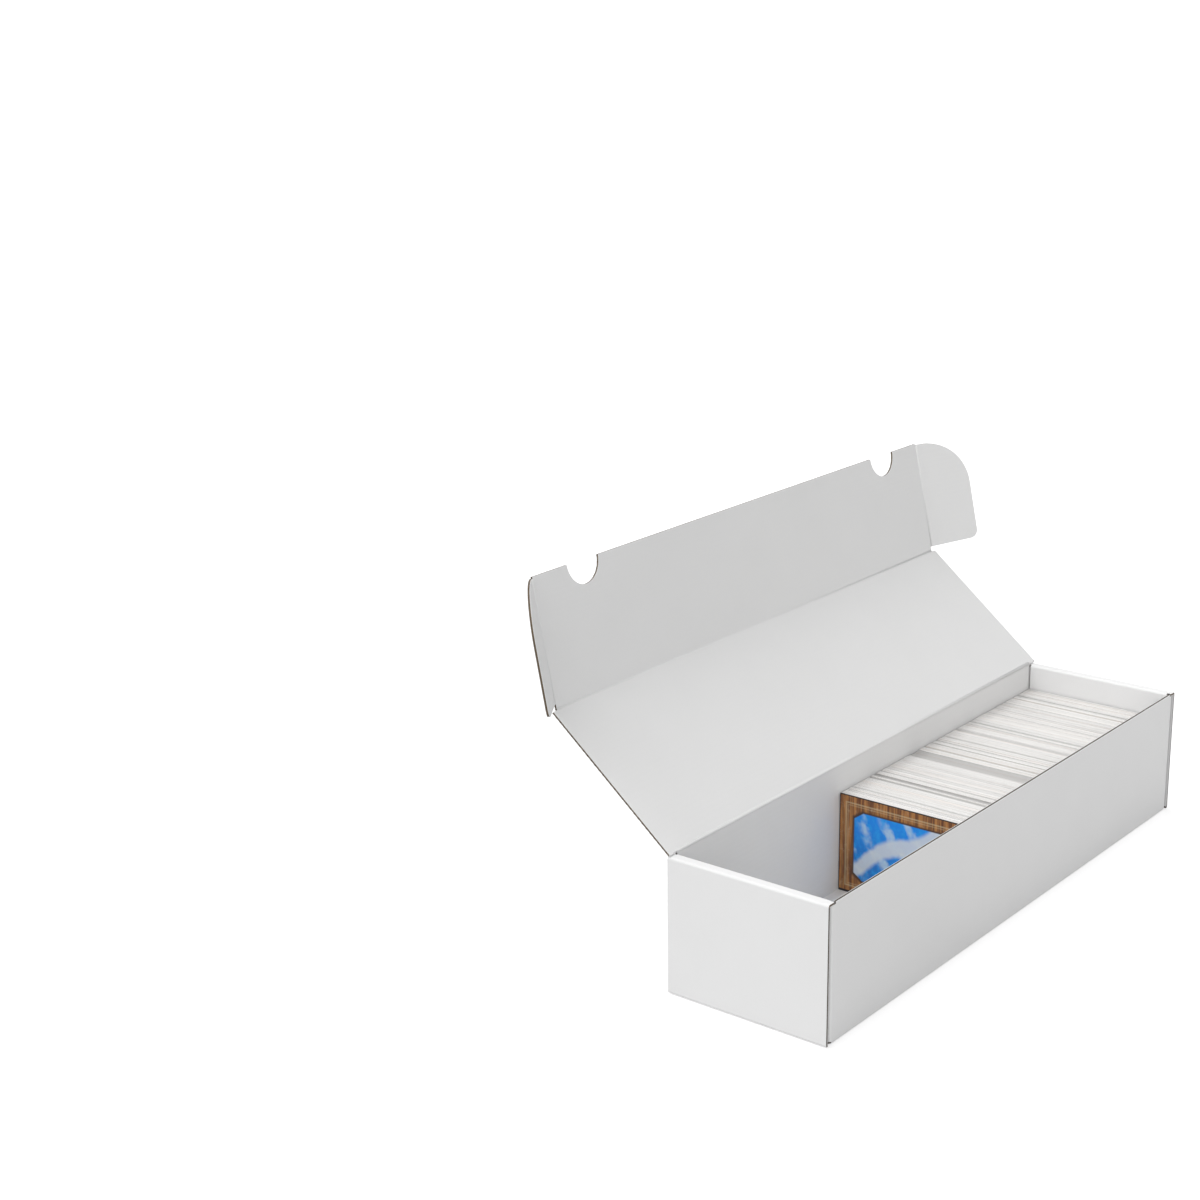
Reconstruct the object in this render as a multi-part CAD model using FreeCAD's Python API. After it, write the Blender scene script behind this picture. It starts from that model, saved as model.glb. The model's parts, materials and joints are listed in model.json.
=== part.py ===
"""Corrugated card storage box: a one-piece folded blank with rolled ends, a hinged lid,
a front flap that closes outside the front wall, two tuck ears, and a row of cards.

Frame: +X along the box, front wall at -Y, lid hinge at +Y, +Z up.
The origin is the centre of the underside. Units are millimetres and degrees.
The lid stands open, as the box is used while cards are being sorted.
Every panel of the blank is three plies: outer liner, fluted medium and inner liner.
"""
import FreeCAD
import Part
import math
import os

Vector = FreeCAD.Vector
X, Y, Z = Vector(1, 0, 0), Vector(0, 1, 0), Vector(0, 0, 1)

# Outside of the folded box
length = 415.0          # over the two outer end panels
width = 104.0           # over the front and back walls
height = 82.0           # underside to the top of the rolled ends

# The board
board = 1.6             # thickness of the corrugated board
liner = 0.25            # thickness of each flat paper ply
medium_paper = 0.2      # thickness of the fluted paper
flute_pitch = 3.5       # crest to crest
glue_line = 0.02        # between a flute's crest and its liner

# Clearances between the moving and the standing panels
lid_gap = 0.2           # closed lid above the rolled ends
wall_gap = 0.2          # top of the back wall below the lid's rounded edge
crease_gap = 0.15       # between a panel's rounded edge and the panel that carries it
flap_gap = 0.3          # closed flap in front of the front wall
ear_side_gap = 0.3      # each face of a tucked ear to its pocket
ear_top_gap = 0.4       # tucked ear below the rolled end
ply_gap = 0.2           # between folded panels of the tray that do not bear on each other
inner_end_gap = 1.0     # each side of an inner end panel to the long wall, so that it folds in

# Walls and rolled ends
front_wall_drop = 0.4   # raw top edge of the front wall below the rolled ends
tab_middle_gap = 9.0    # between the front and back tabs of one end
lock_width = 20.0       # each locking tab of an inner end panel
lock_spacing = 52.0     # between the two locking tabs of one end
lock_recess = 0.3       # end of a locking tab above the underside

# Front flap and ears
flap_floor_gap = 7.0    # free edge of the closed flap above the underside
notch_radius = 14.0     # half-round thumb notch
notch_spacing = 320.0   # between the two notches
ear_length = 36.0
ear_free_drop = 1.0     # free side of an ear inside the flap's free edge
ear_large_radius = 32.5
ear_small_radius = 5.5

# How far the box stands open
lid_angle = 141.0        # lid from closed; 90 stands upright
flap_angle = 39.0        # front flap from the lid's plane, towards the inside
ear_angle = 36.0         # each ear from the flap's plane, towards the inside

# Cards, standing on their long edge
card_width = 88.9
card_height = 63.5
card_thickness = 0.305
cards_per_pack = 129
pack_count = 6
pack_gap = 0.2          # between neighbouring packs
card_side_gap = 0.5     # cards to the back wall
card_end_gap = 0.3      # cards to the far inner end panel
card_floor_gap = 0.1

# Worked out from the sizes above
half_length = length / 2
half_width = width / 2
half_board = board / 2
ear_slot = board + 2 * ear_side_gap
tab_face = board + ear_slot                 # outer end face to the tab
tab_back = tab_face + board                 # outer end face to the back of the tab
spine_width = tab_back + board              # outer end face to the inside of the box
spine_underside = height - board
front_wall_top = height - front_wall_drop
hinge_height = height + lid_gap + half_board
back_wall_top = hinge_height - half_board - wall_gap
lid_depth = (half_width - half_board) + (half_width + flap_gap + half_board)
flap_depth = hinge_height - flap_floor_gap
ear_inset = board + ear_side_gap + half_board
ear_start = hinge_height - spine_underside + ear_top_gap
ear_end = flap_depth - ear_free_drop
wall_half_length = half_length - tab_back
flute_zone = board - 2 * liner - 2 * glue_line


# ---------------------------------------------------------------- board plies
# A panel is drawn in its own axes: a leads away from its fold, b runs along the fold
# and w goes through the board, from the outer face at 0 to the inner face at `board`.

def outline(points):
    """Closed flat face through (a, b) points; a point given as an edge is kept as it is."""
    edges = []
    for start, end in zip(points, points[1:] + points[:1]):
        edges.append(Part.makeLine(Vector(*start, 0), Vector(*end, 0)))
    return Part.Face(Part.Wire(edges))


def rectangle(a0, a1, b0, b1):
    return outline([(a0, b0), (a1, b0), (a1, b1), (a0, b1)])


def sector(centre_w, r0, r1, start, end, b0, b1):
    """Ring sector about the line a = 0, w = centre_w; angles are from +a towards +w."""
    def point(r, angle):
        turn = math.radians(angle)
        return Vector(r * math.cos(turn), b0, centre_w + r * math.sin(turn))

    middle = (start + end) / 2
    edges = [Part.Arc(point(r1, start), point(r1, middle), point(r1, end)).toShape()]
    if r0 > 0:
        edges.append(Part.makeLine(point(r1, end), point(r0, end)))
        edges.append(Part.Arc(point(r0, end), point(r0, middle), point(r0, start)).toShape())
        edges.append(Part.makeLine(point(r0, start), point(r1, start)))
    else:
        edges.append(Part.makeLine(point(r1, end), point(0, end)))
        if abs(end - start) != 180:
            edges.append(Part.makeLine(point(0, end), point(r1, start)))
        else:
            edges[-1] = Part.makeLine(point(r1, end), point(r1, start))
    return Part.Face(Part.Wire(edges)).extrude(Vector(0, b1 - b0, 0))


def flute_section(start, end):
    """Cut face of the fluted paper, as waves of tangent arcs from start to end."""
    quarter = flute_pitch / 4
    rise = (flute_zone - medium_paper) / 2
    radius = (quarter ** 2 + rise ** 2) / (2 * rise)
    lean = math.asin(quarter / radius)
    crest_drop = radius - rise

    def arc(centre, side, r):
        """One half wave; side is +1 for a crest and -1 for a trough."""
        across, up = r * math.sin(lean), r * math.cos(lean)
        base = board / 2 - side * crest_drop
        return (Vector(centre - across, 0, base + side * up),
                Vector(centre, 0, base + side * r),
                Vector(centre + across, 0, base + side * up))

    first = math.floor(start / (2 * quarter)) - 1
    last = math.ceil(end / (2 * quarter)) + 1
    upper, lower = [], []
    for count in range(first, last + 1):
        side = 1 if count % 2 == 0 else -1
        upper.append(arc(count * 2 * quarter, side, radius + side * medium_paper / 2))
        lower.append(arc(count * 2 * quarter, side, radius - side * medium_paper / 2))
    edges = [Part.Arc(*points).toShape() for points in upper]
    edges.append(Part.makeLine(upper[-1][2], lower[-1][2]))
    edges += [Part.Arc(*reversed(points)).toShape() for points in reversed(lower)]
    edges.append(Part.makeLine(lower[0][0], upper[0][0]))
    return Part.Face(Part.Wire(edges))


def flutes(face, along):
    """Fluted paper filling the outline `face`, with its flutes along "a" or "b"."""
    box = face.BoundBox
    spare = flute_pitch     # run-out past both ends, trimmed by the outline
    if along == "b":
        section = flute_section(box.XMin, box.XMax)
        section.translate(Vector(0, box.YMin - spare, 0))
        sheet = section.extrude(Vector(0, box.YLength + 2 * spare, 0))
    else:
        section = flute_section(box.YMin, box.YMax)
        section.rotate(Vector(0, 0, 0), Z, 90)
        section.translate(Vector(box.XMin - spare, 0, 0))
        sheet = section.extrude(Vector(box.XLength + 2 * spare, 0, 0))
    return sheet.common(face.extrude(Vector(0, 0, board)))


def joined(flat, bend):
    """The flat ply and its bent edge as one solid."""
    if bend is None:
        return flat.Solids[0] if len(flat.Solids) == 1 else flat
    return flat.fuse(bend).removeSplitter().Solids[0]


def plies(face, along, edge, b0, b1):
    """Outer liner, medium and inner liner of one panel.

    edge "fold" is a fixed right-angle fold about the inside corner, "crease" is a
    half-round edge about the middle of the board, and "cut" is a plain edge.
    """
    outer = face.extrude(Vector(0, 0, liner))
    inner = face.extrude(Vector(0, 0, liner))
    inner.translate(Vector(0, 0, board - liner))
    medium = flutes(face, along)
    crushed = liner + glue_line
    if edge == "fold":
        bends = (sector(board, board - liner, board, 180, 270, b0, b1),
                 sector(board, crushed, board - crushed, 180, 270, b0, b1),
                 sector(board, 0, liner, 180, 270, b0, b1))
    elif edge == "crease":
        bends = (sector(half_board, half_board - liner, half_board, 180, 270, b0, b1),
                 sector(half_board, 0, half_board - crushed, 90, 270, b0, b1),
                 sector(half_board, half_board - liner, half_board, 90, 180, b0, b1))
    else:
        bends = (None, None, None)
    return [joined(flat, bend) for flat, bend in zip((outer, medium, inner), bends)]


def place(shape, origin, a, w):
    """Move a panel from its own axes to the box; b follows from a and w."""
    b = w.cross(a)
    matrix = FreeCAD.Matrix(a.x, b.x, w.x, origin.x,
                            a.y, b.y, w.y, origin.y,
                            a.z, b.z, w.z, origin.z,
                            0, 0, 0, 1)
    placed = shape.copy()
    placed.Placement = FreeCAD.Placement(matrix) * shape.Placement
    return placed


nodes = {}


def add_panel(name, shapes, origin, a, w):
    for ply, shape in zip(("outer_liner", "medium", "inner_liner"), shapes):
        nodes[name + "_" + ply] = place(shape, origin, a, w)


# ---------------------------------------------------------------- tray
def bottom():
    """Bottom panel, slotted for the locking tabs of both inner end panels."""
    face = rectangle(-(half_width - board), half_width - board,
                     -(half_length - board), half_length - board)
    for side in (-1, 1):
        for row in (-1, 1):
            middle = row * lock_spacing / 2
            reach = lock_width / 2 + ply_gap
            near = half_length - spine_width - ply_gap
            far = half_length - tab_back + ply_gap
            slot = rectangle(middle - reach, middle + reach,
                             min(side * near, side * far), max(side * near, side * far))
            face = face.cut(slot)
    face = face.Faces[0]
    add_panel("bottom", plies(face, "b", "cut", 0, 0), Vector(0, 0, 0), Y, Z)


def long_wall(name, top, side):
    """Front (side -1) or back (side +1) wall, stepped down under the rolled ends."""
    under = spine_underside - ply_gap - board
    between = half_length - spine_width - ply_gap
    rise = top - board
    face = outline([(0, -wall_half_length), (under, -wall_half_length),
                    (under, -between), (rise, -between),
                    (rise, between), (under, between),
                    (under, wall_half_length), (0, wall_half_length)])
    shapes = plies(face, "b", "fold", -wall_half_length, wall_half_length)
    add_panel(name, shapes, Vector(0, side * half_width, board), Z, -side * Y)


def end_outer(name, side):
    face = rectangle(0, spine_underside - board, -half_width, half_width)
    shapes = plies(face, "a", "fold", -half_width, half_width)
    add_panel(name, shapes, Vector(side * half_length, 0, board), Z, -side * X)


def end_spine(name, side):
    """The narrow top of a rolled end, over the tabs and the ear pocket."""
    face = rectangle(0, spine_width - 2 * board, -half_width, half_width)
    shapes = plies(face, "a", "fold", -half_width, half_width)
    add_panel(name, shapes, Vector(side * (half_length - board), 0, height), -side * X, -Z)


def end_inner(name, side):
    """Inner end panel, down to the floor, with two tabs locked in the bottom's slots."""
    drop = spine_underside - board
    reach = half_width - board - inner_end_gap
    tip = spine_underside - lock_recess
    points = [(0, -reach), (drop, -reach)]
    for row in (-1, 1):
        middle = row * lock_spacing / 2
        points += [(drop, middle - lock_width / 2), (tip, middle - lock_width / 2),
                   (tip, middle + lock_width / 2), (drop, middle + lock_width / 2)]
    points += [(drop, reach), (0, reach)]
    shapes = plies(outline(points), "a", "fold", -reach, reach)
    inside = half_length - spine_width
    add_panel(name, shapes, Vector(side * inside, 0, spine_underside), -Z, side * X)


def end_tab(name, side, wall):
    """Tab from a long wall (-1 front, +1 back), folded in between the end's two panels."""
    reach = half_width - board - tab_middle_gap / 2
    low, high = board + ply_gap, spine_underside - ply_gap
    b0, b1 = (low, high) if side == wall else (-high, -low)
    shapes = plies(rectangle(0, reach, b0, b1), "a", "fold", b0, b1)
    origin = Vector(side * (half_length - tab_face), wall * (half_width - board), 0)
    add_panel(name, shapes, origin, -wall * Y, -side * X)


# ---------------------------------------------------------------- lid, flap and ears
def turned(forward, inward, angle):
    """A panel's direction and inner normal after folding it inwards by an angle."""
    turn = math.radians(angle)
    return (forward * math.cos(turn) + inward * math.sin(turn),
            inward * math.cos(turn) - forward * math.sin(turn))


hinge_axis = Vector(0, half_width - half_board, hinge_height)
lid_forward, lid_inward = turned(-Y, -Z, -lid_angle)
flap_axis = hinge_axis + lid_forward * lid_depth
flap_forward, flap_inward = turned(lid_forward, lid_inward, flap_angle)


def lid():
    end = lid_depth - half_board - crease_gap
    face = rectangle(0, end, -half_length, half_length)
    shapes = plies(face, "b", "crease", -half_length, half_length)
    add_panel("lid", shapes, hinge_axis - lid_inward * half_board, lid_forward, lid_inward)


def front_flap():
    """Front flap with two half-round notches in its free edge."""
    reach = half_length - ear_inset - half_board - crease_gap
    face = rectangle(0, flap_depth, -reach, reach)
    for side in (-1, 1):
        rim = Part.makeCircle(notch_radius, Vector(flap_depth, side * notch_spacing / 2, 0))
        face = face.cut(Part.Face(Part.Wire(rim)))
    shapes = plies(face.Faces[0], "b", "crease", -reach, reach)
    add_panel("front_flap", shapes, flap_axis - flap_inward * half_board,
              flap_forward, flap_inward)


def ear_outline(mirror):
    """Ear with a large round corner at the flap's free edge and a small one by the lid."""
    def at(a, b):
        return Vector(a, mirror * b, 0)

    def corner(centre_a, centre_b, radius, quadrant):
        swing = [math.radians(angle) for angle in quadrant]
        return [at(centre_a + radius * math.cos(turn), centre_b + radius * math.sin(turn))
                for turn in swing]

    small = corner(ear_length - ear_small_radius, ear_start + ear_small_radius,
                   ear_small_radius, (-90, -45, 0))
    large = corner(ear_length - ear_large_radius, ear_end - ear_large_radius,
                   ear_large_radius, (0, 45, 90))
    edges = [Part.makeLine(at(0, ear_start), small[0]), Part.Arc(*small).toShape(),
             Part.makeLine(small[2], large[0]), Part.Arc(*large).toShape(),
             Part.makeLine(large[2], at(0, ear_end)),
             Part.makeLine(at(0, ear_end), at(0, ear_start))]
    return Part.Face(Part.Wire(edges))


def ear(name, side):
    forward, inward = turned(side * X, flap_inward, ear_angle)
    b0, b1 = sorted((side * ear_start, side * ear_end))
    shapes = plies(ear_outline(side), "a", "crease", b0, b1)
    axis = flap_axis + X * (side * (half_length - ear_inset))
    add_panel(name, shapes, axis - inward * half_board, forward, inward)


# ---------------------------------------------------------------- cards
def cards():
    """The packs against the far end, and the card that faces the empty part of the box."""
    back = half_width - board - card_side_gap
    floor = board + card_floor_gap
    pack_length = cards_per_pack * card_thickness
    end = half_length - spine_width - card_end_gap
    for number in range(pack_count, 0, -1):
        nodes["card_pack_%d" % number] = Part.makeBox(
            pack_length, card_width, card_height,
            Vector(end - pack_length, back - card_width, floor))
        end -= pack_length + pack_gap
    nodes["front_card"] = Part.makeBox(
        card_thickness, card_width, card_height,
        Vector(end - card_thickness, back - card_width, floor))


def build():
    bottom()
    long_wall("front_wall", front_wall_top, -1)
    long_wall("back_wall", back_wall_top, 1)
    for hand, side in (("left", -1), ("right", 1)):
        end_outer("end_outer_" + hand, side)
        end_spine("end_spine_" + hand, side)
        end_inner("end_inner_" + hand, side)
        end_tab("front_tab_" + hand, side, -1)
        end_tab("back_tab_" + hand, side, 1)
        ear("ear_" + hand, side)
    lid()
    front_flap()
    cards()


def export():
    os.makedirs("parts", exist_ok=True)
    for name, shape in nodes.items():
        if not shape.isValid() or len(shape.Solids) != 1:
            raise ValueError("%s is not one valid solid" % name)
        shape.exportStep("parts/%s.step" % name)


build()
export()
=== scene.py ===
"""Corrugated trading card box: papers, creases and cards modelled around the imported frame.

The tray keeps its CAD sheets, with paper materials. The lid, the front flap and the two
ears get new paper faces that run on over their creases, and the solid packs of cards are
replaced by single cards. Lengths are metres, in the frame's axes: +X along the box, the
front wall at -Y, the lid's hinge at +Y.
"""

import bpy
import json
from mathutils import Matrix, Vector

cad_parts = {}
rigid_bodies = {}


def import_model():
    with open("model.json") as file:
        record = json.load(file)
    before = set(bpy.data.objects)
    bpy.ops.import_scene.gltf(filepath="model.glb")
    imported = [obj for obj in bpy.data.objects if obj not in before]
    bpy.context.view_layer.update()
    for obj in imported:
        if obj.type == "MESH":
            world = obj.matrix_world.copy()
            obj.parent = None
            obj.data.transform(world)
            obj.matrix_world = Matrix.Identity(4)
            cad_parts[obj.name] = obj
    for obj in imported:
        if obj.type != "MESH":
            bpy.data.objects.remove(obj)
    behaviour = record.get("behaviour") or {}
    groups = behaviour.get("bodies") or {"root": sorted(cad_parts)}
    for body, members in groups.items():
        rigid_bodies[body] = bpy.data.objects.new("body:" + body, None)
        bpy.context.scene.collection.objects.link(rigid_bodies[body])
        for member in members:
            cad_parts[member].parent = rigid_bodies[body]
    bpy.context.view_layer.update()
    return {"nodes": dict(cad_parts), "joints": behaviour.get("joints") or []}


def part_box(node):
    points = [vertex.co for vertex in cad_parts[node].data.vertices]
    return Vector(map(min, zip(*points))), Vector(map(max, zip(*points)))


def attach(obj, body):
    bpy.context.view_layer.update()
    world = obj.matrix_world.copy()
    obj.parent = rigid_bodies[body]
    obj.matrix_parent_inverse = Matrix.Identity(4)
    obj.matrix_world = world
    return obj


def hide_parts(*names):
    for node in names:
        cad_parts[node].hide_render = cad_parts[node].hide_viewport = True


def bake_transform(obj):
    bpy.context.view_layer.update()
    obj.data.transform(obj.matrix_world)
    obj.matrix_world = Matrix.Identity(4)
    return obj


bl_info = {
    "name": "Trading Card Box",
    "version": (1, 0, 0),
    "blender": (4, 5, 0),
    "location": "View3D > Sidebar > Card Box",
    "description": "Papers, creases, cards and studio for a corrugated trading card box",
    "category": "Object",
}

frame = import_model()

import json
import math
import random

import bmesh
import bpy
from bpy.props import FloatProperty, FloatVectorProperty, IntProperty, PointerProperty
from mathutils import Matrix, Vector

X, Y, Z = Vector((1, 0, 0)), Vector((0, 1, 0)), Vector((0, 0, 1))
MM = 0.001
HANDS = {"left": -1, "right": 1}
JOINTS = {joint["name"]: joint for joint in frame["joints"]}

# Board and box, read from the CAD nodes: a liner's thickness, the board's, half the box's length
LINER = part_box("bottom_outer_liner")[1].z
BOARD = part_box("bottom_inner_liner")[1].z
HALF_BOARD = BOARD / 2
HALF_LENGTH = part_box("end_outer_right_outer_liner")[1].x

# Facets of the round shapes, and how far a crease's paper may turn and still lie flat
NOTCH_STEPS = 28
EAR_CORNER_STEPS = 16
CREASE_STEPS = 14
PINCH_STEPS = 10
CARD_CORNER_STEPS = 2
FLAT_TURN = math.radians(60)

# The camera, in millimetres, and the way towards each soft lamp
CAMERA_PLACE = Vector((-1074.40, -606.11, 557.02))
CAMERA_FORWARD = Vector((0.7437, 0.6027, -0.2893))
CAMERA_UP = Vector((0.2338, 0.1710, 0.9571))
CAMERA_LENS, CAMERA_SENSOR = 65.07, 36
LAMPS = {"key": (-0.235, 0.407, 0.883), "fill": (-0.75, -0.433, 0.5)}

# The studio floor, in metres: half its side, and how far it lies below the box
FLOOR_REACH = 60
FLOOR_DROP = 0.4 * MM


def axes(first, second, third, origin):
    """The matrix from a set of axes and their origin to the frame."""
    rows = zip(first, second, third, origin)
    return Matrix([*map(list, rows), [0, 0, 0, 1]])


# ------------------------------------------------------------------ the folds
class Fold:
    """A crease that moves, and the panel that swings about it, as both lie at rest."""

    def __init__(self, joint, forward, inward):
        facts = JOINTS[joint]
        self.at = Vector(facts["pos_m"])
        self.fixed_body, self.body = facts["parent"], facts["child"]
        self.fixed_forward, self.fixed_inward = forward, inward
        # at its low limit the panel stands square to the one that it folds on
        self.angle = math.radians(90 + facts["range_deg"][0])
        self.forward = forward * math.cos(self.angle) + inward * math.sin(self.angle)
        self.inward = inward * math.cos(self.angle) - forward * math.sin(self.angle)

    def plane(self):
        """From the panel's own axes (a from the crease, b along it, w inwards) to the frame."""
        along = self.inward.cross(self.forward)
        return axes(self.forward, along, self.inward, self.at - self.inward * HALF_BOARD)

    def reach(self, node):
        """How far a CAD node reaches from the crease, in its panel's plane."""
        points = (vertex.co - self.at for vertex in frame["nodes"][node].data.vertices)
        return max(point.dot(self.forward) for point in points)


LID = Fold("lid_hinge", Z, -Y)
FLAP = Fold("flap_fold", LID.forward, LID.inward)
EARS = {hand: Fold("ear_%s_fold" % hand, X * side, FLAP.inward) for hand, side in HANDS.items()}
LID_DEPTH = (FLAP.at - LID.at).length
FLAP_DEPTH = FLAP.reach("front_flap_inner_liner")
FLAP_REACH = EARS["right"].at.x


# ------------------------------------------------------------------ sizes and colours
class CardBoxBoard(bpy.types.PropertyGroup):
    """How the board is creased and cut"""

    crease_reach: FloatProperty(
        name="Crease reach", description="From a crease's axis to the flat of each panel",
        default=1.0 * MM, unit="LENGTH")
    crease_radius: FloatProperty(
        name="Crease radius", description="Outside of the rounded paper over a crease",
        default=0.87 * MM, unit="LENGTH")
    cut_softening: FloatProperty(
        name="Cut softening", description="Rounding of the papers' die-cut edges",
        default=0.05 * MM, unit="LENGTH")
    crush_depth: FloatProperty(
        name="Crush depth", description="From a cut edge in to the crushed flutes",
        default=0.35 * MM, unit="LENGTH")
    crush_width: FloatProperty(
        name="Crush width", description="Thickness of the wall of crushed flutes",
        default=0.2 * MM, unit="LENGTH")
    notch_radius: FloatProperty(
        name="Notch radius", description="Half-round thumb notch in the flap",
        default=14 * MM, unit="LENGTH")
    notch_spacing: FloatProperty(
        name="Notch spacing", description="Between the two thumb notches",
        default=320 * MM, unit="LENGTH")
    ear_large_radius: FloatProperty(
        name="Large ear radius", description="Ear's corner at the flap's free edge",
        default=32.5 * MM, unit="LENGTH")
    ear_small_radius: FloatProperty(
        name="Small ear radius", description="Ear's corner by the lid",
        default=5.5 * MM, unit="LENGTH")
    flute_pitch: FloatProperty(
        name="Flute pitch", description="Crest to crest of the fluted paper",
        default=3.5 * MM, unit="LENGTH")
    outer_white: FloatVectorProperty(
        name="Outer white", description="Coated outside of the board",
        default=(0.84, 0.84, 0.84), subtype="COLOR")
    # the uncoated inside paper, a little darker than the outer white; the darkening is partly
    # painted shade for the inside of the box
    inner_white: FloatVectorProperty(
        name="Inner white", description="Uncoated inside of the board",
        default=(0.805, 0.805, 0.803), subtype="COLOR")
    kraft: FloatVectorProperty(
        name="Kraft", description="Fluted paper in the raw edges",
        default=(0.145, 0.107, 0.073), subtype="COLOR")
    # painted shade: the kraft colour is scaled by this in edges cut across the flutes
    painted_flute_shade: FloatProperty(
        name="Deep kraft", description="Light left in the flutes of an edge cut across them",
        default=0.4, min=0, max=1, subtype="FACTOR")


class CardBoxCards(bpy.types.PropertyGroup):
    """The row of cards"""

    thickness: FloatProperty(
        name="Card thickness", description="One card in the row", default=0.305 * MM, unit="LENGTH")
    air: FloatProperty(
        name="Air", description="Share of a card's place that is air",
        default=0.05, min=0, max=1, subtype="FACTOR")
    corner_radius: FloatProperty(
        name="Corner radius", description="Round corner of a card",
        default=0.4 * MM, unit="LENGTH")
    unevenness: FloatProperty(
        name="Unevenness", description="Usual difference in the height of two clumps of cards",
        default=0.14 * MM, unit="LENGTH")
    seed: IntProperty(name="Seed", description="Changes the order of the uneven cards", default=7)
    stock: FloatVectorProperty(
        name="Card stock", description="Cut edges of the cards",
        default=(0.87, 0.86, 0.846), subtype="COLOR")


class CardBoxStudio(bpy.types.PropertyGroup):
    """Floor and light"""

    floor: FloatVectorProperty(
        name="Floor", description="Pale studio floor", default=(0.6, 0.6, 0.6), subtype="COLOR")
    floor_lift: FloatProperty(
        name="Floor lift", description="White that only the camera sees on the floor",
        default=0.58, min=0, max=1, subtype="FACTOR")
    sky: FloatProperty(
        name="Sky", description="Light from all round",
        default=0.60, min=0, max=1, subtype="FACTOR")
    key: FloatProperty(
        name="Key", description="Strength of the high soft lamp", default=1.55, min=0)
    fill: FloatProperty(
        name="Fill", description="Strength of the low soft lamp", default=0.53, min=0)
    softness: FloatProperty(
        name="Softness", description="Angle that each lamp spans",
        default=math.radians(50), min=0, max=math.pi, subtype="ANGLE")


# ------------------------------------------------------------------ materials
class Value:
    """A number in a material. Arithmetic on it adds the Math nodes that work it out."""

    def __init__(self, paint, socket):
        self.paint, self.socket = paint, socket

    def math(self, operation, *terms):
        settings = {"operation": operation}
        return self.paint.node("ShaderNodeMath", settings, dict(enumerate(terms)))

    def __add__(self, other):
        return self.math("ADD", self, other)

    def __sub__(self, other):
        return self.math("SUBTRACT", self, other)

    def __rsub__(self, other):
        return self.math("SUBTRACT", other, self)

    def __mul__(self, other):
        return self.math("MULTIPLY", self, other)

    def __truediv__(self, other):
        return self.math("DIVIDE", self, other)

    def larger(self, other):
        return self.math("MAXIMUM", self, other)

    def wave(self):
        return self.math("SINE", self)

    def size(self):
        return self.math("ABSOLUTE", self)

    def root(self):
        return self.math("SQRT", self)

    def between(self, low, high):
        """0 at low and below, 1 at high and above, smooth between."""
        settings = {"interpolation_type": "SMOOTHSTEP"}
        ends = {"Value": self, "From Min": low, "From Max": high}
        return self.paint.node("ShaderNodeMapRange", settings, ends)

    __radd__, __rmul__ = __add__, __mul__


class Paint:
    """A material or a sky being made: its shader, and the nodes that feed it."""

    def __init__(self, made, shader="Principled BSDF", **plain):
        made.use_nodes = True
        self.material, self.tree = made, made.node_tree
        self.shader = self.tree.nodes[shader]
        self.feed(**plain)

    def set(self, socket, value):
        """Links a socket to a value in the material, or gives it a plain one."""
        if isinstance(value, Value):
            self.tree.links.new(value.socket, socket)
        elif isinstance(value, (tuple, list)) and len(value) == 3 and socket.type == "RGBA":
            socket.default_value = (*value, 1)
        else:
            socket.default_value = value

    def feed(self, **values):
        """Sockets of the shader, by name with _ for a space."""
        for name, value in values.items():
            self.set(self.shader.inputs[name.replace("_", " ")], value)

    def node(self, kind, settings=None, values=None, output=0):
        """Any node: its settings first, then the values or links of its sockets."""
        made = self.tree.nodes.new(kind)
        for name, setting in (settings or {}).items():
            setattr(made, name, setting)
        for name, value in (values or {}).items():
            self.set(made.inputs[name], value)
        return Value(self, made.outputs[output])

    def place(self):
        return self.node("ShaderNodeTexCoord", output="Object")

    def axis(self, direction):
        """How far a point lies along a direction."""
        values = {0: self.place(), 1: tuple(direction)}
        return self.node("ShaderNodeVectorMath", {"operation": "DOT_PRODUCT"}, values, "Value")

    def stretched(self, scale):
        """Places scaled along each axis, so that a pattern grows long and thin."""
        values = {0: self.place(), 1: tuple(scale)}
        return self.node("ShaderNodeVectorMath", {"operation": "MULTIPLY"}, values)

    def noise(self, scale, detail=3.0, roughness=0.5, stretch=(1, 1, 1)):
        """Unevenness from 0 to 1; scale counts its features in a metre."""
        values = {"Vector": self.stretched(stretch), "Scale": scale,
                  "Detail": detail, "Roughness": roughness}
        return self.node("ShaderNodeTexNoise", None, values, "Fac")

    def mix(self, share, low, high):
        """A colour between two others."""
        values = {"Factor": share, 6: low, 7: high}
        return self.node("ShaderNodeMix", {"data_type": "RGBA"}, values, 2)

    def tinted(self, colour, strength):
        """A colour made lighter and darker by a number round 1."""
        values = {0: colour, "Scale": strength}
        return self.node("ShaderNodeVectorMath", {"operation": "SCALE"}, values)

    def relief(self, height, distance):
        """Bumps of the surface: a height of 1 stands proud by distance."""
        values = {"Distance": distance, "Height": height}
        self.feed(Normal=self.node("ShaderNodeBump", None, values))

    def seen(self):
        """1 for what the camera sees, directly or in a gloss, and 0 for light on the object."""
        rays = [self.node("ShaderNodeLightPath", output="Is %s Ray" % kind)
                for kind in ("Camera", "Glossy", "Transmission")]
        return rays[0].larger(rays[1]).larger(rays[2])


def material(name):
    return bpy.data.materials.new(name)


MADE = {}


def once(make):
    """A material is made the first time that it is asked for."""
    def get(*facts):
        key = (make.__name__, *map(str, facts))
        if key not in MADE:
            MADE[key] = make(*facts)
        return MADE[key]
    return get


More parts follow.
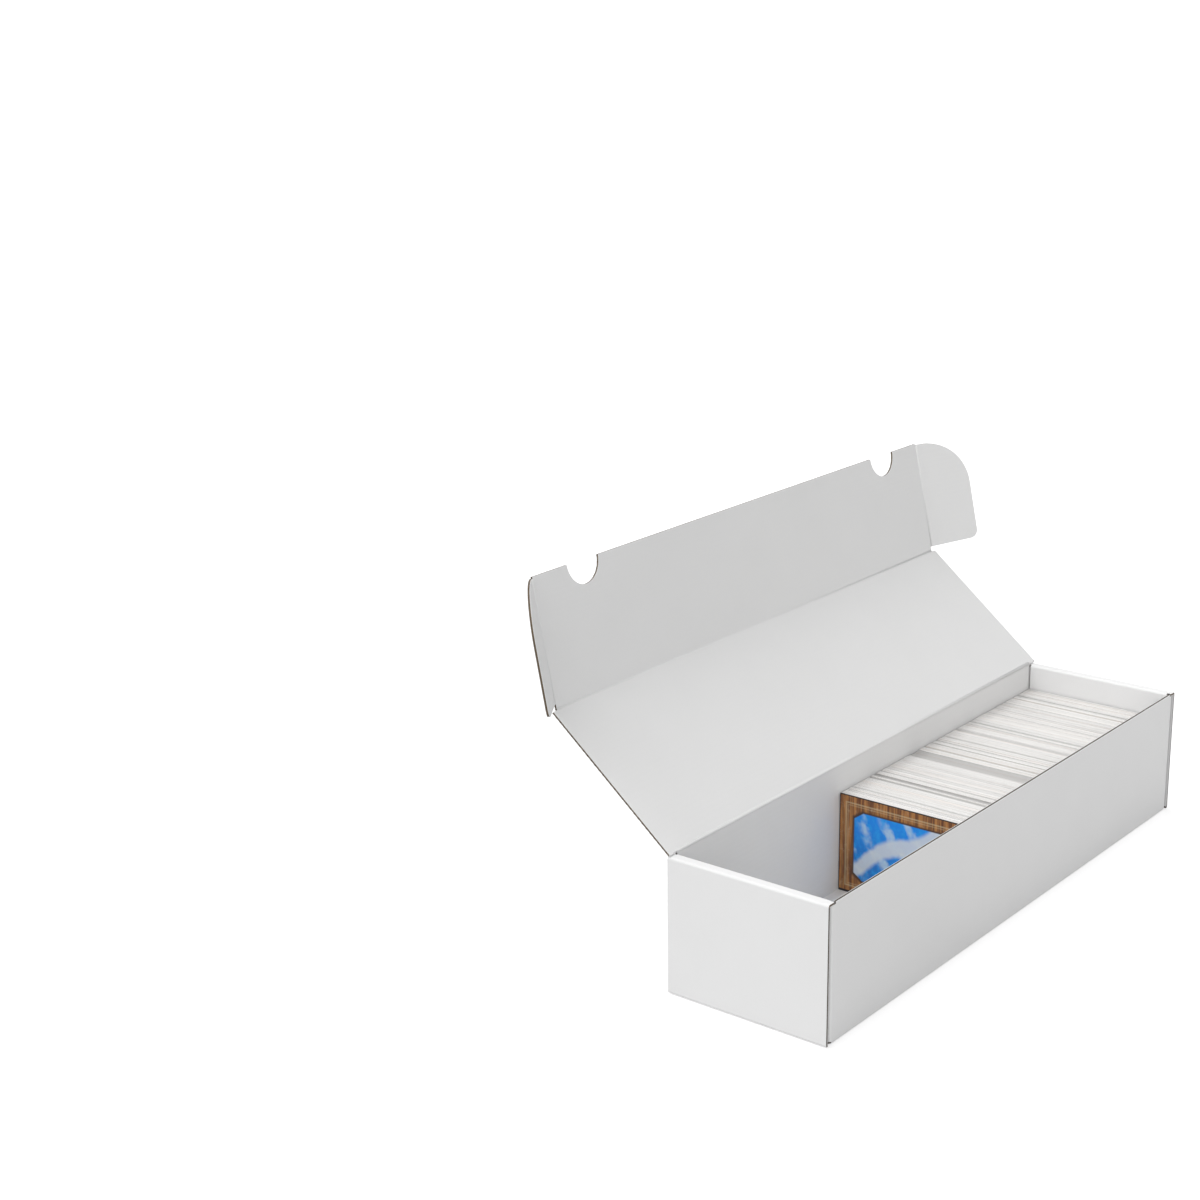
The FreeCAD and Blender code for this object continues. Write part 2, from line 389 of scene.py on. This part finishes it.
@once
def paper(side, across=None, fold_line=None):
    """White paper face of the board.

    The flutes show through faintly along `across`. Over a crease, fine cracks run along
    `fold_line` instead.
    """
    board = bpy.context.scene.card_box_board
    outer = side == "outer"
    white = tuple(board.outer_white if outer else board.inner_white)
    name = "%s_white_%s" % (side, "crease" if fold_line else "paper")
    paint = Paint(material(name), Metallic=0.0, IOR=1.45)
    cloud = paint.noise(26.0, 2.0)
    fibre = paint.noise(900.0, 3.0, 0.65)
    light = 0.972 + cloud * 0.03 + fibre * 0.026
    rough = 0.5 if outer else 0.72
    height = fibre * 0.35
    if across:
        turns = paint.axis(across) * (2 * math.pi / board.flute_pitch)
        height = height + turns.wave() * (0.28 + cloud * 0.2)
    if fold_line:
        long_way, cross_way = 35, 2200
        stretch = [long_way if abs(part) > 0.5 else cross_way for part in fold_line]
        cracks = paint.noise(1.0, 4.0, 0.7, stretch).between(0.52, 0.78)
        light = light - cracks * 0.07
        height = height - cracks * 0.9
    paint.feed(Base_Color=paint.tinted(white, light))
    paint.feed(Roughness=rough + fibre * 0.16 - cloud * 0.05)
    paint.relief(height, 0.018 * MM if outer else 0.026 * MM)
    return paint.material


@once
def kraft(depth="open"):
    """Fluted brown paper with loose fibres.

    In an edge cut across the flutes its colour is darkened, as painted shade in the open flutes.
    """
    board = bpy.context.scene.card_box_board
    paint = Paint(material("kraft_" + depth), Metallic=0.0)
    fibre = paint.noise(2200.0, 4.0, 0.7)
    blotch = paint.noise(180.0, 2.0)
    # painted shade: the kraft of an edge cut across the flutes is darkened in its colour
    shade = board.painted_flute_shade if depth == "deep" else 1.0
    brown, pale = (tuple(tone * light * shade for tone in board.kraft) for light in (1.0, 1.5))
    colour = paint.mix(fibre.between(0.35, 0.75), brown, pale)
    paint.feed(Base_Color=paint.tinted(colour, 0.75 + blotch * 0.5))
    paint.feed(Roughness=0.82 + fibre * 0.12)
    paint.relief(fibre, 0.04 * MM)
    return paint.material


@once
def card_stock():
    """Cut edges of the cards: off-white, each card in a tone of its own, darker as painted shade
    where it stands low, with fine lines.
    """
    cards = bpy.context.scene.card_box_cards
    paint = Paint(material("card_stock_edges"), Metallic=0.0)
    tone = paint.node("ShaderNodeAttribute", {"attribute_name": "tone"}, output="Fac")
    warmth = paint.node("ShaderNodeAttribute", {"attribute_name": "warmth"}, output="Fac")
    streak = paint.noise(1.0, 4.0, 0.7, stretch=(2600, 55, 60))
    speck = paint.noise(1500.0, 2.0, 0.6)
    white = paint.mix(warmth * streak, tuple(cards.stock), (0.76, 0.58, 0.45))
    light = tone * (0.81 + streak * 0.29 + speck * 0.08)
    paint.feed(Base_Color=paint.tinted(white, light))
    paint.feed(Roughness=0.6 + speck * 0.2)
    paint.relief(streak + speck * 0.5, 0.03 * MM)
    return paint.material


@once
def card_back():
    """Faces inside the row, seen only where a card stands low: a pale border, then print."""
    paint = Paint(material("card_faces_in_row"), Metallic=0.0, Coat_Weight=0.15)
    warmth = paint.node("ShaderNodeAttribute", {"attribute_name": "warmth"}, output="Fac")
    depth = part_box("front_card")[1].z - paint.axis(Z)
    border = depth.between(1.9 * MM, 2.5 * MM)
    grey, brown = (0.16, 0.19, 0.24), (0.24, 0.12, 0.06)
    print_colour = paint.mix(warmth.between(0.02, 0.3), grey, brown)
    print_colour = paint.tinted(print_colour, 0.7 + paint.noise(300.0) * 0.8)
    paint.feed(Base_Color=paint.mix(border, (0.56, 0.55, 0.54), print_colour))
    paint.feed(Roughness=0.35 + paint.noise(600.0) * 0.1)
    return paint.material


@once
def card_art():
    """Face of the front card: a wooden frame with an inlay, round one wide blue window."""
    low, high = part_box("front_card")
    size = high - low
    paint = Paint(material("front_card_print"), Metallic=0.0, Coat_Weight=0.12, Coat_Roughness=0.35)
    right = (high.y - paint.axis(Y)) / size.y        # 0 at the card's left edge, 1 at its right
    up = (paint.axis(Z) - low.z) / size.z
    dark_wood, light_wood, worn_wood = (0.13, 0.044, 0.014), (0.46, 0.20, 0.055), (0.50, 0.33, 0.20)
    deep_blue, mid_blue, light_blue = (0.003, 0.16, 0.56), (0.002, 0.25, 0.86), (0.012, 0.38, 0.88)
    ripple, pale_ribbon, inlay = (0.56, 0.72, 0.82), (0.76, 0.79, 0.78), (0.62, 0.50, 0.30)
    window_rim, card_rim = (0.06, 0.028, 0.015), (0.018, 0.014, 0.018)

    def window(side, bottom, top=None, soft=0.008, chamfer=0.0):
        """1 inside a rectangle of the card's face, 0 outside, with its corners cut off.

        side, bottom and top are its margins, as shares of the card's width and height.
        """
        top = bottom if top is None else top
        across = (right - 0.5).size() - (0.5 - side)
        height = (up - (1 + bottom - top) / 2).size() - (1 - bottom - top) / 2
        outside = across.larger(height).larger((across + height + chamfer) * 0.7)
        return 1 - outside.between(-soft, soft)

    grain = paint.noise(1.0, 4.0, 0.55, stretch=(60, 620, 40))
    cloud = paint.noise(75.0, 3.0, 0.55)
    wear = paint.noise(240.0, 3.0, 0.6)
    wood = paint.mix(grain.between(0.34, 0.66), dark_wood, light_wood)
    wood = paint.mix(wear.between(0.52, 0.78) * 0.6, wood, worn_wood)
    # rings spread from beyond the window's upper corner, pale over blue
    ring_right, ring_up = (right - 0.80) * (size.y / size.z), up - 1.06
    reach = (ring_right * ring_right + ring_up * ring_up).root()
    rings = (reach * 26.0 + cloud * 5.0).wave().between(-0.2, 1.0)
    blue = paint.mix(up.between(0.1, 0.9), deep_blue, mid_blue)
    blue = paint.mix(wear.between(0.4, 0.7) * 0.6, blue, light_blue)
    water = paint.mix(rings * cloud.between(0.36, 0.64) * 0.8, blue, ripple)
    # a pale ribbon crosses them
    swell = (right * 11.0 + cloud * 2.0).wave() * 0.05
    ribbon = (up - right * 0.9 - 0.16 + swell).size()
    water = paint.mix((1 - ribbon.between(0.05, 0.12)) * 0.75, water, pale_ribbon)
    # two thin inlaid lines run round the frame, and a dark rim round the window
    colour = paint.mix((window(0.048, 0.07) - window(0.056, 0.081)) * 0.7, wood, inlay)
    colour = paint.mix((window(0.066, 0.095) - window(0.071, 0.102)) * 0.5, colour, inlay)
    colour = paint.mix(window(0.105, 0.135, soft=0.012, chamfer=0.07), colour, window_rim)
    colour = paint.mix(window(0.118, 0.153, soft=0.006, chamfer=0.07), colour, water)
    colour = paint.mix(window(0.0055, 0.022, 0.011, soft=0.003), card_rim, colour)
    paint.feed(Base_Color=colour, Roughness=0.34 + wear * 0.12)
    return paint.material


@once
def dark_stock():
    """Printed dark edge of the front card."""
    paint = Paint(material("front_card_edges"), Metallic=0.0)
    fleck = paint.noise(1800.0, 3.0, 0.7).between(0.5, 0.8)
    paint.feed(Base_Color=paint.mix(fleck, (0.10, 0.065, 0.045), (0.35, 0.28, 0.22)))
    paint.feed(Roughness=0.6 + fleck * 0.2)
    return paint.material


# ------------------------------------------------------------------ mesh helpers
def finished(name, shape, materials, body=None, slot=None, stands_for=()):
    """Turns a bmesh into a piece that rides on a body. Its slot is not used."""
    mesh = bpy.data.meshes.new(name)
    shape.to_mesh(mesh)
    shape.free()
    for finish in materials:
        mesh.materials.append(finish)
    piece = bpy.data.objects.new(name, mesh)
    bpy.context.scene.collection.objects.link(piece)
    if body:
        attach(piece, body)
    if stands_for:
        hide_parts(*stands_for)
    return piece


def flat_outline(corners, notches=()):
    """A flat face through the corners, with half-round notches in its far edge."""
    shape = bmesh.new()
    ring = [shape.verts.new((a, b, 0)) for a, b in corners]
    for centre, radius in notches:
        before = len(shape.verts)
        rim = shape.verts.new((centre[0], centre[1] - radius, 0))
        bmesh.ops.spin(shape, geom=[rim], cent=(*centre, 0), axis=Z, dvec=(0, 0, 0),
                       angle=-math.pi, steps=NOTCH_STEPS, use_merge=False,
                       use_duplicate=False)
        shape.verts.ensure_lookup_table()
        ring += shape.verts[before:]
    for start, end in zip(ring, ring[1:] + ring[:1]):
        if not shape.edges.get((start, end)):
            shape.edges.new((start, end))
    bmesh.ops.contextual_create(shape, geom=shape.edges[:])
    return shape


def extrude(shape, offset):
    """Makes a flat shape a closed solid."""
    grown = bmesh.ops.extrude_face_region(shape, geom=shape.faces[:])["geom"]
    far = [item for item in grown if isinstance(item, bmesh.types.BMVert)]
    bmesh.ops.translate(shape, vec=offset, verts=far)
    bmesh.ops.recalc_face_normals(shape, faces=shape.faces[:])


def thicken(shape, low, high, softening):
    """Gives a flat outline its thickness, from w = low to w = high, with softened rims."""
    bmesh.ops.translate(shape, vec=(0, 0, low), verts=shape.verts)
    extrude(shape, (0, 0, high - low))
    if softening:
        rim = [edge for edge in shape.edges
               if abs(edge.verts[0].co.z - edge.verts[1].co.z) < softening]
        bmesh.ops.bevel(shape, geom=rim, offset=softening, segments=1, profile=0.5,
                        affect="EDGES", material=-1)


def lid_outline():
    """The lid between its creases; beyond the back wall's ends it runs to its crease's axis."""
    near = bpy.context.scene.card_box_board.crease_reach
    far, inner = LID_DEPTH - near, wall_reach()
    return flat_outline([(near, -inner), (0, -inner), (0, -HALF_LENGTH), (far, -HALF_LENGTH),
                         (far, HALF_LENGTH), (0, HALF_LENGTH), (0, inner), (near, inner)])


def flap_outline():
    """The front flap, with a thumb notch near each end of its free edge."""
    board = bpy.context.scene.card_box_board
    near, side = board.crease_reach, FLAP_REACH - board.crease_reach
    notches = [((FLAP_DEPTH, hand * board.notch_spacing / 2), board.notch_radius)
               for hand in HANDS.values()]
    return flat_outline([(FLAP_DEPTH, side), (near, side), (near, -side), (FLAP_DEPTH, -side)],
                        notches)


def ear_outline(hand):
    """An ear, with a small round corner by the lid and a large one at the free edge."""
    board = bpy.context.scene.card_box_board
    tip = EARS[hand].reach("ear_%s_medium" % hand)
    start, end = (HANDS[hand] * reach for reach in ear_span(hand))
    near = board.crease_reach
    shape = flat_outline([(near, start), (tip, start), (tip, end), (near, end)])
    shape.verts.ensure_lookup_table()
    corners = (shape.verts[1], board.ear_small_radius), (shape.verts[2], board.ear_large_radius)
    for corner, radius in corners:
        bmesh.ops.bevel(shape, geom=[corner], offset=radius, offset_type="OFFSET",
                        segments=EAR_CORNER_STEPS, profile=0.5, affect="VERTICES", material=-1)
    return shape


def wall_reach():
    """Half the length of the back wall's full-height stretch, between the rolled ends."""
    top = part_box("back_wall_outer_liner")[1].z
    tall = [vertex.co.x for vertex in frame["nodes"]["back_wall_outer_liner"].data.vertices
            if vertex.co.z > top - LINER]
    return max(tall)


def ear_span(hand):
    """Where an ear starts and ends along the flap, from the flap's crease."""
    points = [(vertex.co - FLAP.at).dot(FLAP.forward)
              for vertex in frame["nodes"]["ear_%s_medium" % hand].data.vertices]
    return min(points), max(points)


def ply_span(side):
    """A paper's place through the board: the outer face is w = 0."""
    return (0, LINER) if side == "outer" else (BOARD - LINER, BOARD)


def sheet(name, fold, side, shape, across):
    """One paper face of a swinging panel, in place of its CAD sheet."""
    board = bpy.context.scene.card_box_board
    thicken(shape, *ply_span(side), board.cut_softening)
    bmesh.ops.transform(shape, matrix=fold.plane(), verts=shape.verts)
    finished("%s_%s_paper" % (name, side), shape, [paper(side, across)], fold.body,
             "white_%s_liner" % side, ["%s_%s_liner" % (name, side)])


def inset(shape, depth):
    """Insets the whole of a flat shape and returns the new faces round it."""
    return bmesh.ops.inset_region(shape, faces=shape.faces[:], thickness=depth,
                                  use_boundary=True, use_even_offset=True)["faces"]


def crushed_edge(name, fold, shape):
    """Flutes crushed by the cut: a thin kraft wall between the papers, just inside the edge."""
    board = bpy.context.scene.card_box_board
    rim = inset(shape, board.crush_depth)
    bmesh.ops.delete(shape, geom=rim, context="FACES")
    wall = inset(shape, board.crush_width)
    middle = [face for face in shape.faces if face not in wall]
    bmesh.ops.delete(shape, geom=middle, context="FACES_ONLY")
    thicken(shape, LINER, BOARD - LINER, 0)
    bmesh.ops.transform(shape, matrix=fold.plane(), verts=shape.verts)
    finished(name + "_crushed_edge", shape, [kraft()], fold.body, "kraft_medium")


def crease(name, fold, side, low, high):
    """The paper that runs on over a crease, bent between the two panels.

    Its section is drawn about the crease's axis: u is the fixed panel's forward
    direction and v its inward one. low and high are its ends along the crease.
    """
    board = bpy.context.scene.card_box_board
    face = 1 if side == "inner" else -1
    start = math.atan2(face * HALF_BOARD, -board.crease_reach)
    end = math.atan2(face * HALF_BOARD, board.crease_reach) + fold.angle

    def radius(share, angle):
        """Along the fixed panel's face, round the crease, along the moving panel's face."""
        normal = face * math.pi / 2 + (0 if share < 0.5 else fold.angle)
        off = (angle - normal) * face * (1 if share < 0.5 else -1)
        flat = HALF_BOARD / math.cos(off) if 0 < off < FLAT_TURN else 0
        return max(flat, board.crease_radius)

    shares = [step / CREASE_STEPS for step in range(CREASE_STEPS + 1)]
    angles = [start + (end - start) * share for share in shares]
    skin = [(radius(share, angle), angle) for share, angle in zip(shares, angles)]
    outside = [Vector((r * math.cos(angle), r * math.sin(angle), 0)) for r, angle in skin]
    inside = [point - point.normalized() * LINER for point in outside]
    inside[0] = outside[0] - Vector((0, face * LINER, 0))
    tilt = fold.angle + face * math.pi / 2
    inside[-1] = outside[-1] - Vector((math.cos(tilt), math.sin(tilt), 0)) * LINER
    shape = bmesh.new()
    ring = [shape.verts.new(point) for point in outside + inside[::-1]]
    shape.faces.new(ring)
    extrude(shape, (0, 0, high - low))
    u, v = fold.fixed_forward, fold.fixed_inward
    along = u.cross(v)
    plane = axes(u, v, along, fold.at + along * low)
    bmesh.ops.transform(shape, matrix=plane, verts=shape.verts)
    for each in shape.faces:
        each.smooth = len(each.verts) == 4
    piece = finished("%s_%s_crease" % (name, side), shape, [paper(side, None, along)],
                     slot="white_%s_liner" % side)
    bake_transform(piece)


# ------------------------------------------------------------------ operators
class CARDBOX_OT_tray_papers(bpy.types.Operator):
    """Paper and kraft finishes for every sheet that keeps its CAD shape"""

    bl_idname = "card_box.tray_papers"
    bl_label = "Tray papers"

    CUT_ACROSS = ("front_wall", "end_outer")
    STANDING = ("front_wall", "back_wall", "front_tab", "back_tab")

    def execute(self, context):
        for name, node in frame["nodes"].items():
            node.material_slots[0].material = self.finish(name)
        return {"FINISHED"}

    def finish(self, name):
        """A CAD node's material, from its name: a fluted medium, a liner, or cards."""
        if name.endswith("_medium"):
            # mediums in edges cut across the flutes take the kraft with painted shade in its colour
            return kraft("deep" if name.startswith(self.CUT_ACROSS) else "open")
        if name.endswith("_liner"):
            side = name.rsplit("_", 2)[1]
            return paper(side, Z if name.startswith(self.STANDING) else Y)
        return card_stock()


class CARDBOX_OT_lid_papers(bpy.types.Operator):
    """Both paper faces of the lid and of the front flap, and the lid's two pinched corners"""

    bl_idname = "card_box.lid_papers"
    bl_label = "Lid and flap papers"

    def execute(self, context):
        for ply in ("outer", "inner"):
            sheet("lid", LID, ply, lid_outline(), LID.forward)
            sheet("front_flap", FLAP, ply, flap_outline(), FLAP.forward)
        self.pinched_corners()
        return {"FINISHED"}

    def pinched_corners(self):
        """Beyond the back wall the crease pinches the lid's two papers together round its edge."""
        shape = bmesh.new()
        for hand in HANDS.values():
            ends = [hand * reach for reach in (wall_reach() + LINER / 2, HALF_LENGTH)]
            corners = [(0, ends[0], BOARD - LINER), (0, ends[1], BOARD - LINER),
                       (0, ends[1], BOARD), (0, ends[0], BOARD)]
            strip = shape.faces.new([shape.verts.new(corner) for corner in corners])
            bmesh.ops.spin(shape, geom=[strip, *strip.edges, *strip.verts], angle=-math.pi,
                           cent=(0, 0, HALF_BOARD), axis=Y, steps=PINCH_STEPS)
        bmesh.ops.recalc_face_normals(shape, faces=shape.faces[:])
        for face in shape.faces:
            face.smooth = True
        bmesh.ops.transform(shape, matrix=LID.plane(), verts=shape.verts)
        finished("lid_pinched_corners", shape, [paper("inner", None, X)], LID.body,
                 "white_inner_liner")


class CARDBOX_OT_ear_papers(bpy.types.Operator):
    """Both paper faces of each tuck ear, with its two round corners"""

    bl_idname = "card_box.ear_papers"
    bl_label = "Ear papers"

    def execute(self, context):
        for hand, fold in EARS.items():
            for ply in ("outer", "inner"):
                sheet("ear_" + hand, fold, ply, ear_outline(hand), FLAP.forward)
        return {"FINISHED"}


class CARDBOX_OT_crushed_edges(bpy.types.Operator):
    """Kraft crushed by the cutting rule, inside the raw edges of lid, flap and ears"""

    bl_idname = "card_box.crushed_edges"
    bl_label = "Crushed edges"

    def execute(self, context):
        crushed_edge("lid", LID, lid_outline())
        crushed_edge("front_flap", FLAP, flap_outline())
        for hand, fold in EARS.items():
            crushed_edge("ear_" + hand, fold, ear_outline(hand))
        return {"FINISHED"}


class CARDBOX_OT_creases(bpy.types.Operator):
    """The papers that run on over the four moving creases"""

    bl_idname = "card_box.creases"
    bl_label = "Creases"

    def execute(self, context):
        reach = context.scene.card_box_board.crease_reach
        wall = wall_reach()
        side = FLAP_REACH - reach
        for ply in ("outer", "inner"):
            crease("lid", LID, ply, -wall, wall)
            crease("front_flap", FLAP, ply, -side, side)
            for hand, fold in EARS.items():
                along = fold.fixed_forward.cross(fold.fixed_inward).dot(FLAP.forward)
                ends = sorted(along * end for end in ear_span(hand))
                crease("ear_" + hand, fold, ply, *ends)
        return {"FINISHED"}


class CARDBOX_OT_card_row(bpy.types.Operator):
    """Every card of the row as its own leaf, in place of the solid packs"""

    bl_idname = "card_box.card_row"
    bl_label = "Row of cards"

    def execute(self, context):
        cards = context.scene.card_box_cards
        row = Row(cards)
        for name in sorted(name for name in frame["nodes"] if name.startswith("card_pack")):
            low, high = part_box(name)
            shape = bmesh.new()
            tone = shape.faces.layers.float.new("tone")
            warmth = shape.faces.layers.float.new("warmth")
            paper_only = cards.thickness * (1 - cards.air)
            leaf = card_shape(shape, high - low, cards.corner_radius, paper_only)
            for number in range(round((high.x - low.x) / cards.thickness)):
                left = low.x + number * cards.thickness
                drop, own_tone, own_warmth = row.next_card(left)
                middle = Vector((left, (low.y + high.y) / 2, (low.z + high.z) / 2 - drop))
                copy = bmesh.ops.duplicate(shape, geom=leaf)["geom"]
                verts = [item for item in copy if isinstance(item, bmesh.types.BMVert)]
                bmesh.ops.transform(shape, matrix=row.stance(middle), verts=verts)
                for face in (item for item in copy if isinstance(item, bmesh.types.BMFace)):
                    face[tone], face[warmth] = own_tone, own_warmth
            bmesh.ops.delete(shape, geom=leaf, context="VERTS")
            finished(name.replace("card_pack", "cards"), shape, [card_stock(), card_back()],
                     "cards", "card_stock", [name])
        return {"FINISHED"}


class Row:
    """The unevenness of the row: cards stand in clumps, and some clumps stand low."""

    # middle along X and half width in mm, drop in mm, and share of the light: a tone factor that
    # paints the shade of the low run
    LOW_RUNS = ((-4.7, 1.2, 0.45, 0.74), (1.0, 1.9, 0.60, 0.60), (8.4, 0.5, 0.25, 0.88),
                (43.4, 1.6, 0.50, 0.66), (48.6, 3.5, 0.60, 0.62), (53.0, 0.8, 0.40, 0.74),
                (60.5, 1.0, 0.30, 0.84), (69.5, 1.0, 0.45, 0.77), (75.5, 1.0, 0.30, 0.86),
                (84.0, 0.6, 0.20, 0.91), (100.5, 1.4, 0.30, 0.85), (118.5, 1.3, 0.30, 0.87),
                (141.5, 1.1, 0.25, 0.88), (164.5, 1.3, 0.25, 0.88), (176.5, 1.0, 0.30, 0.85),
                (182.8, 1.1, 0.50, 0.77), (197.3, 0.5, 0.25, 0.88), (200.0, 0.6, 1.10, 0.55))
    CLUMP_SIZES = (1, 2, 3, 4, 6, 9)
    CLUMP_TONE, CARD_TONE = (0.985, 0.035), (1, 0.018)     # usual tone and its spread
    LIGHTEST = 1.03
    # a card that stands low alone is darkened in tone, as painted shade
    LONE_SHARE, LONE_DROP, LONE_TONE = 0.03, (0.25, 0.8), 0.9    # a card that stands low alone
    OWN_DROP, OWN_SHIFT = 0.03 * MM, 0.08 * MM
    TURN, LEAN = 0.0005, 0.0009        # spreads, in radians
    TRIM = 0.9985                      # a card's width and height, as a share of its pack's

    def __init__(self, cards):
        self.chance = random.Random(cards.seed)
        self.unevenness = cards.unevenness
        self.left, self.clump_drop, self.clump_tone = 0, 0.0, 1.0

    def next_card(self, along):
        """How far the next card stands down, and its tone and warmth."""
        chance = self.chance
        if self.left == 0:
            self.left = chance.choice(self.CLUMP_SIZES)
            self.clump_drop = abs(chance.gauss(0, self.unevenness))
            self.clump_tone = min(self.LIGHTEST, chance.gauss(*self.CLUMP_TONE))
        self.left -= 1
        drop = self.clump_drop + abs(chance.gauss(0, self.OWN_DROP))
        tone = self.clump_tone * chance.gauss(*self.CARD_TONE)
        if chance.random() < self.LONE_SHARE:
            drop += chance.uniform(*self.LONE_DROP) * MM
            # painted shade for the card that stands low alone
            tone *= self.LONE_TONE
        for middle, half, depth, share in self.LOW_RUNS:
            if abs(along - middle * MM) < half * MM:
                # painted shade: a low run's cards are darkened by its share of the light
                drop, tone = drop + depth * MM, tone * share
        return drop, tone, chance.random() ** 9      # nearly every card is plain white

    def stance(self, middle):
        """A card's place, with a little turn and shift of its own."""
        chance = self.chance
        turn = (Matrix.Rotation(chance.gauss(0, self.TURN), 4, "Z")
                @ Matrix.Rotation(chance.gauss(0, self.LEAN), 4, "X"))
        size = Matrix.Diagonal((1, self.TRIM, self.TRIM, 1))
        shift = Vector((0, chance.gauss(0, self.OWN_SHIFT), 0))
        return Matrix.Translation(middle + shift) @ turn @ size


def card_shape(shape, size, radius, thickness):
    """One card across X, centred on Y and Z, its first face at X = 0; returns its geometry."""
    corners = [shape.verts.new((0, side_y * size.y / 2, side_z * size.z / 2))
               for side_y, side_z in ((1, 1), (-1, 1), (-1, -1), (1, -1))]
    shape.faces.new(corners)
    bmesh.ops.bevel(shape, geom=corners, offset=radius, offset_type="OFFSET",
                    segments=CARD_CORNER_STEPS, profile=0.5, affect="VERTICES", material=-1)
    extrude(shape, (thickness, 0, 0))
    for face in shape.faces:
        face.material_index = 1 if len(face.verts) > 4 else 0
    return shape.verts[:] + shape.edges[:] + shape.faces[:]


class CARDBOX_OT_front_card(bpy.types.Operator):
    """The card that faces the empty part of the box, with a generic print"""

    bl_idname = "card_box.front_card"
    bl_label = "Front card"

    def execute(self, context):
        cards = context.scene.card_box_cards
        low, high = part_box("front_card")
        shape = bmesh.new()
        card_shape(shape, high - low, cards.corner_radius, high.x - low.x)
        for face in shape.faces:
            face.material_index = 0 if face.normal.x < -0.5 else 1
        middle = (low + high) / 2
        bmesh.ops.translate(shape, vec=(low.x, middle.y, middle.z), verts=shape.verts)
        finished("front_card_printed", shape, [card_art(), dark_stock()], "cards",
                 "card_face", ["front_card"])
        return {"FINISHED"}


class CARDBOX_OT_studio(bpy.types.Operator):
    """Pale floor, soft light, and the camera"""

    bl_idname = "card_box.studio"
    bl_label = "Studio"

    def execute(self, context):
        studio = context.scene.card_box_studio
        self.floor(studio)
        self.sky(studio)
        self.lamps(studio)
        self.camera(context.scene)
        context.scene.view_settings.view_transform = "Standard"
        return {"FINISHED"}

    def floor(self, studio):
        shape = bmesh.new()
        bmesh.ops.create_grid(shape, x_segments=1, y_segments=1, size=FLOOR_REACH)
        bmesh.ops.translate(shape, vec=(0, 0, -FLOOR_DROP), verts=shape.verts)
        paint = Paint(material("studio_floor"), Base_Color=tuple(studio.floor), Roughness=0.9)
        lift = paint.tinted((1, 1, 1), paint.seen() * studio.floor_lift)
        paint.feed(Emission_Color=lift, Emission_Strength=1.0)
        floor = finished("studio_floor", shape, [paint.material])

    def sky(self, studio):
        world = bpy.data.worlds.new("studio_sky")
        bpy.context.scene.world = world
        paint = Paint(world, "Background", Color=(1, 1, 1))
        paint.feed(Strength=studio.sky + paint.seen() * (1 - studio.sky))

    def lamps(self, studio):
        for name, towards in LAMPS.items():
            lamp = bpy.data.lights.new("studio_" + name, "SUN")
            lamp.energy = getattr(studio, name)
            lamp.angle = studio.softness
            sun = bpy.data.objects.new("studio_" + name, lamp)
            sun.rotation_euler = Vector(towards).to_track_quat("Z", "Y").to_euler()
            bpy.context.scene.collection.objects.link(sun)

    def camera(self, scene):
        forward = CAMERA_FORWARD.normalized()
        right = forward.cross(CAMERA_UP).normalized()
        up = right.cross(forward).normalized()
        lens = bpy.data.cameras.new("camera")
        lens.sensor_width, lens.lens = CAMERA_SENSOR, CAMERA_LENS
        lens.clip_start, lens.clip_end = 0.01, 500
        camera = bpy.data.objects.new("camera", lens)
        camera.matrix_world = axes(right, up, -forward, CAMERA_PLACE * MM)
        scene.collection.objects.link(camera)
        scene.camera = camera


class CARDBOX_PT_panel(bpy.types.Panel):
    """Lists the steps that dress the box, and their sizes"""

    bl_idname = "CARDBOX_PT_panel"
    bl_label = "Card Box"
    bl_space_type = "VIEW_3D"
    bl_region_type = "UI"
    bl_category = "Card Box"

    def draw(self, context):
        for step in STEPS:
            self.layout.operator(step.bl_idname)
        for group in GROUPS:
            values = getattr(context.scene, group)
            for name in values.__annotations__:
                self.layout.prop(values, name)


STEPS = (CARDBOX_OT_tray_papers, CARDBOX_OT_lid_papers, CARDBOX_OT_ear_papers,
         CARDBOX_OT_crushed_edges, CARDBOX_OT_creases, CARDBOX_OT_card_row,
         CARDBOX_OT_front_card, CARDBOX_OT_studio)
GROUPS = {"card_box_board": CardBoxBoard, "card_box_cards": CardBoxCards,
          "card_box_studio": CardBoxStudio}


def register():
    for kind in (*GROUPS.values(), *STEPS, CARDBOX_PT_panel):
        bpy.utils.register_class(kind)
    for name, group in GROUPS.items():
        setattr(bpy.types.Scene, name, PointerProperty(type=group))


def unregister():
    for name in GROUPS:
        delattr(bpy.types.Scene, name)
    for kind in (CARDBOX_PT_panel, *STEPS, *GROUPS.values()):
        bpy.utils.unregister_class(kind)


def main():
    register()
    for step in STEPS:
        family, name = step.bl_idname.split(".")
        getattr(getattr(bpy.ops, family), name)()


if __name__ == "__main__":
    main()
